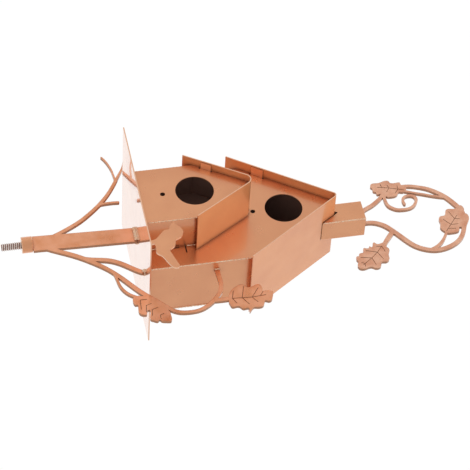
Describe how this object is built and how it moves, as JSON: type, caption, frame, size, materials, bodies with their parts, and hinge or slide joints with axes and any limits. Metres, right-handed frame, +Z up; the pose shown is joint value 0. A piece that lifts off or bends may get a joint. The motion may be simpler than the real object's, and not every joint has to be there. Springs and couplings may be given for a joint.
{
  "type": "pole-top birdhouse",
  "caption": "Welded sheet-metal birdhouse head for a pole: a small gabled house in front of a tall one on a plate, with a chimney, oak-leaf scrollwork, a bird and a stud below.",
  "frame": {"origin": "on the pole stud's axis, in the boss's lower face, where the head seats on its pole", "axes": "+Z up along the stud and the houses, -Y out of the entry holes, +X to the right seen from the front"},
  "size_m": [0.2305, 0.142, 0.4766],
  "materials": {
    "copper_coat": "semi-gloss copper-coloured metallic coating",
    "zinc_stud": "dull zinc plate"
  },
  "bodies": {
    "root": {"threaded_stud": "zinc_stud", "stud_boss": "copper_coat", "branch_bracket": "copper_coat", "base_plate": "copper_coat", "small_front_panel": "copper_coat", "small_left_wall": "copper_coat", "small_right_wall": "copper_coat", "small_roof": "copper_coat", "big_front_panel": "copper_coat", "big_left_wall": "copper_coat", "big_right_wall": "copper_coat", "big_back_panel": "copper_coat", "big_roof": "copper_coat", "chimney": "copper_coat", "chimney_cap": "copper_coat", "finial": "copper_coat", "bird_silhouette": "copper_coat", "small_corner_welds": "copper_coat", "big_corner_welds": "copper_coat", "small_join_welds": "copper_coat", "chimney_seam_weld": "copper_coat", "trunk_foot_welds": "copper_coat", "trunk_head_welds": "copper_coat", "branch_tip_welds": "copper_coat", "finial_foot_welds": "copper_coat", "knob_welds": "copper_coat", "bird_foot_weld": "copper_coat"}
  },
  "joints": []
}
